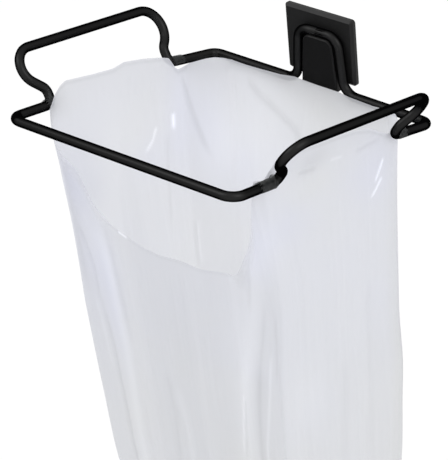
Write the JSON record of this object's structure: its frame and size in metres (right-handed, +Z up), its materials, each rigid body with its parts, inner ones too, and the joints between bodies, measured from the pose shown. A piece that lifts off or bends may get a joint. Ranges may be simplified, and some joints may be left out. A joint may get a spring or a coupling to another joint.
{
  "type": "bin bag holder",
  "caption": "Wire frame on a stick-on wall plate that holds a small clear bag open, its handles hooked over the necks of the raised side loops.",
  "frame": {"origin": "centre of the adhesive pad's back face, where it sticks to the wall", "axes": "+Y points into the wall and the holder stands out towards -Y; +Z is up; +X is to the right seen from the front"},
  "size_m": [0.261, 0.2146, 0.4642],
  "materials": {
    "black_coated_wire": "satin black powder coat over steel wire",
    "black_plastic": "fine satin moulded plastic with bevelled edges",
    "foam_pad": "pale closed-cell double-sided foam",
    "clear_film": "thin milky-clear polyethylene film, creased, soft gloss"
  },
  "bodies": {
    "root": {"wire_frame": "black_coated_wire", "mount_plate": "black_plastic", "adhesive_pad": "foam_pad", "bin_bag": "clear_film"}
  },
  "joints": []
}
